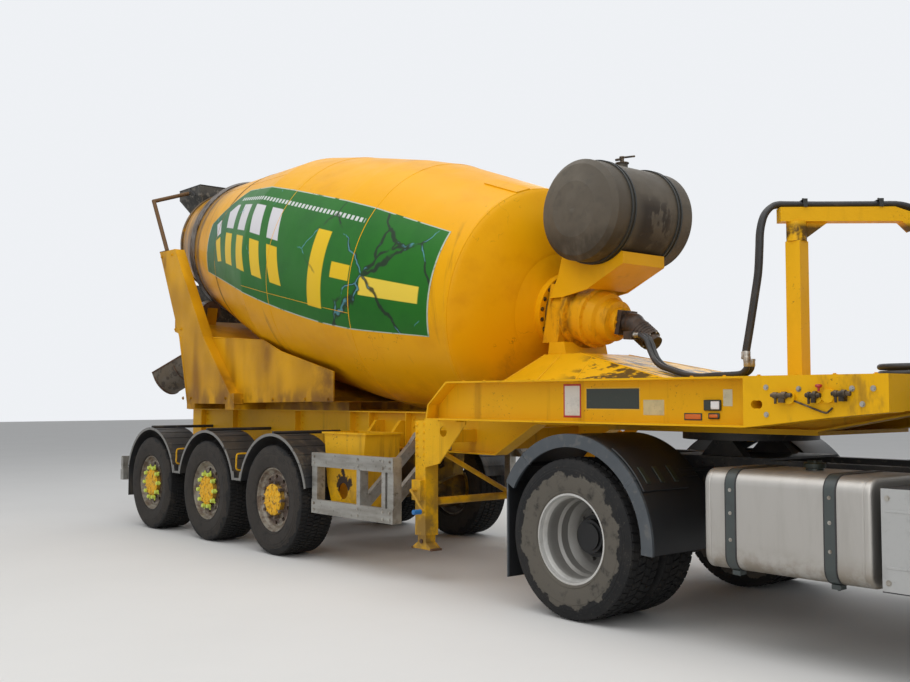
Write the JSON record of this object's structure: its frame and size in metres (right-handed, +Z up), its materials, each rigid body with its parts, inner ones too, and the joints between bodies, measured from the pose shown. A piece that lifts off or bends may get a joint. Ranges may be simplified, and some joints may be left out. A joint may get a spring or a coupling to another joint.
{
  "type": "articulated concrete mixer lorry",
  "caption": "Concrete mixer semi-trailer with tilted drum, water tank, discharge chute and hose boom, coupled to a cab-over tractor unit.",
  "frame": {"origin": "on the ground under the middle of the whole vehicle", "axes": "+X towards the cab, +Y to the vehicle's left, +Z up"},
  "size_m": [12.9728, 2.8, 4.08],
  "materials": {
    "tyre": "worn rubber",
    "yellow_paint": "weathered yellow paint",
    "wheel_steel": "silver painted steel",
    "hose_rubber": "matt",
    "aluminium": "brushed",
    "grey_plastic": "grained",
    "cab_paint": "gloss",
    "glass": "clear",
    "fabric": "woven",
    "grey_paint": "dirty",
    "bare_steel": "rolled",
    "black_paint": "chassis black"
  },
  "bodies": {
    "trailer": {"trailer_frame": "yellow_paint", "neck": "yellow_paint", "trailer_axles": "yellow_paint", "trailer_mudguards": "grey_plastic", "side_guards": "aluminium", "landing_gear": "yellow_paint", "storage_bin": "yellow_paint", "rear_bumper": "aluminium", "front_pedestal": "yellow_paint", "gearbox": "yellow_paint", "drive_motor": "black_paint", "tank_cradle": "yellow_paint", "water_tank": "grey_paint", "rear_pedestal": "yellow_paint", "hopper": "grey_paint", "hose_post": "yellow_paint", "trailer_hoses": "hose_rubber"},
    "drum": {"drum": "yellow_paint"},
    "roller_left": {"roller_left": "bare_steel"},
    "roller_right": {"roller_right": "bare_steel"},
    "chute_turret": {"chute_turret": "grey_paint"},
    "chute": {"chute": "grey_paint"},
    "hose_boom": {"hose_boom": "yellow_paint", "boom_hoses": "hose_rubber"},
    "trailer_wheel_1_left": {"trailer_tyre_1_left": "tyre", "trailer_rim_1_left": "yellow_paint"},
    "trailer_wheel_1_right": {"trailer_tyre_1_right": "tyre", "trailer_rim_1_right": "yellow_paint"},
    "trailer_wheel_2_left": {"trailer_tyre_2_left": "tyre", "trailer_rim_2_left": "yellow_paint"},
    "trailer_wheel_2_right": {"trailer_tyre_2_right": "tyre", "trailer_rim_2_right": "yellow_paint"},
    "trailer_wheel_3_left": {"trailer_tyre_3_left": "tyre", "trailer_rim_3_left": "yellow_paint"},
    "trailer_wheel_3_right": {"trailer_tyre_3_right": "tyre", "trailer_rim_3_right": "yellow_paint"},
    "tractor": {"tractor_frame": "black_paint", "fifth_wheel": "black_paint", "tractor_axles": "black_paint", "drive_mudguards": "grey_plastic", "fuel_tank": "aluminium", "side_boxes": "grey_plastic", "engine": "black_paint", "front_bumper": "grey_plastic", "tractor_hoses": "hose_rubber"},
    "cab": {"cab_shell": "cab_paint", "cab_glass": "glass", "cab_interior": "fabric"},
    "drive_wheels_left": {"drive_tyres_left": "tyre", "drive_rims_left": "wheel_steel"},
    "knuckle_left": {"knuckle_left": "black_paint"},
    "front_wheel_left": {"front_tyre_left": "tyre", "front_rim_left": "wheel_steel"},
    "door_left": {"door_left": "cab_paint"},
    "drive_wheels_right": {"drive_tyres_right": "tyre", "drive_rims_right": "wheel_steel"},
    "knuckle_right": {"knuckle_right": "black_paint"},
    "front_wheel_right": {"front_tyre_right": "tyre", "front_rim_right": "wheel_steel"},
    "door_right": {"door_right": "cab_paint"}
  },
  "joints": [
    {"name": "drum_spin", "type": "hinge", "parent": "trailer", "child": "drum", "pos_m": [0.2444, 0, 2.185], "axis": [-0.9789, 0, 0.2045], "continuous": true},
    {"name": "roller_left_spin", "type": "hinge", "parent": "trailer", "child": "roller_left", "pos_m": [-5.01683, 0.49298, 2.47816], "axis": [-0.9789, 0, 0.2045], "continuous": true},
    {"name": "roller_right_spin", "type": "hinge", "parent": "trailer", "child": "roller_right", "pos_m": [-5.01683, -0.49298, 2.47816], "axis": [-0.9789, 0, 0.2045], "continuous": true},
    {"name": "chute_swing", "type": "hinge", "parent": "trailer", "child": "chute_turret", "pos_m": [-5.5056, 0, 1.4], "axis": [0, 0, 1], "range_deg": [-115, 65]},
    {"name": "chute_tilt", "type": "hinge", "parent": "chute_turret", "child": "chute", "pos_m": [-5.5056, 0, 1.84], "axis": [0.4226, -0.9063, 0], "range_deg": [-12, 15]},
    {"name": "boom_swivel", "type": "hinge", "parent": "trailer", "child": "hose_boom", "pos_m": [2.7144, -0.45, 2.5], "axis": [0, 0, 1], "range_deg": [-90, 40]},
    {"name": "trailer_wheel_1_left_spin", "type": "hinge", "parent": "trailer", "child": "trailer_wheel_1_left", "pos_m": [-2.2456, 1.0825, 0.51], "axis": [0, 1, 0], "continuous": true},
    {"name": "trailer_wheel_1_right_spin", "type": "hinge", "parent": "trailer", "child": "trailer_wheel_1_right", "pos_m": [-2.2456, -1.0825, 0.51], "axis": [0, 1, 0], "continuous": true},
    {"name": "trailer_wheel_2_left_spin", "type": "hinge", "parent": "trailer", "child": "trailer_wheel_2_left", "pos_m": [-3.5556, 1.0825, 0.51], "axis": [0, 1, 0], "continuous": true},
    {"name": "trailer_wheel_2_right_spin", "type": "hinge", "parent": "trailer", "child": "trailer_wheel_2_right", "pos_m": [-3.5556, -1.0825, 0.51], "axis": [0, 1, 0], "continuous": true},
    {"name": "trailer_wheel_3_left_spin", "type": "hinge", "parent": "trailer", "child": "trailer_wheel_3_left", "pos_m": [-4.8656, 1.0825, 0.51], "axis": [0, 1, 0], "continuous": true},
    {"name": "trailer_wheel_3_right_spin", "type": "hinge", "parent": "trailer", "child": "trailer_wheel_3_right", "pos_m": [-4.8656, -1.0825, 0.51], "axis": [0, 1, 0], "continuous": true},
    {"name": "tractor_yaw", "type": "hinge", "parent": "trailer", "child": "tractor", "pos_m": [2.0564, 0, 1.2], "axis": [0, 0, 1], "range_deg": [-90, 90]},
    {"name": "cab_tilt", "type": "hinge", "parent": "tractor", "child": "cab", "pos_m": [6.4264, 0, 0.8], "axis": [0, 1, 0], "range_deg": [0, 60]},
    {"name": "drive_wheels_left_spin", "type": "hinge", "parent": "tractor", "child": "drive_wheels_left", "pos_m": [1.5164, 0.9465, 0.53], "axis": [0, 1, 0], "continuous": true},
    {"name": "steer_left", "type": "hinge", "parent": "tractor", "child": "knuckle_left", "pos_m": [5.1164, 0.889, 0.53], "axis": [0, 0, 1], "range_deg": [-40, 40]},
    {"name": "front_wheel_left_spin", "type": "hinge", "parent": "knuckle_left", "child": "front_wheel_left", "pos_m": [5.1164, 1.079, 0.53], "axis": [0, 1, 0], "continuous": true},
    {"name": "door_left_hinge", "type": "hinge", "parent": "cab", "child": "door_left", "pos_m": [6.2634, 1.22, 1.8], "axis": [0, 0, -1], "range_deg": [0, 70]},
    {"name": "drive_wheels_right_spin", "type": "hinge", "parent": "tractor", "child": "drive_wheels_right", "pos_m": [1.5164, -0.9465, 0.53], "axis": [0, 1, 0], "continuous": true},
    {"name": "steer_right", "type": "hinge", "parent": "tractor", "child": "knuckle_right", "pos_m": [5.1164, -0.889, 0.53], "axis": [0, 0, 1], "range_deg": [-40, 40]},
    {"name": "front_wheel_right_spin", "type": "hinge", "parent": "knuckle_right", "child": "front_wheel_right", "pos_m": [5.1164, -1.079, 0.53], "axis": [0, 1, 0], "continuous": true},
    {"name": "door_right_hinge", "type": "hinge", "parent": "cab", "child": "door_right", "pos_m": [6.2634, -1.22, 1.8], "axis": [0, 0, 1], "range_deg": [0, 70]}
  ],
  "couplings": [
    {"joint": "steer_right", "follows": "steer_left", "ratio": 1}
  ]
}
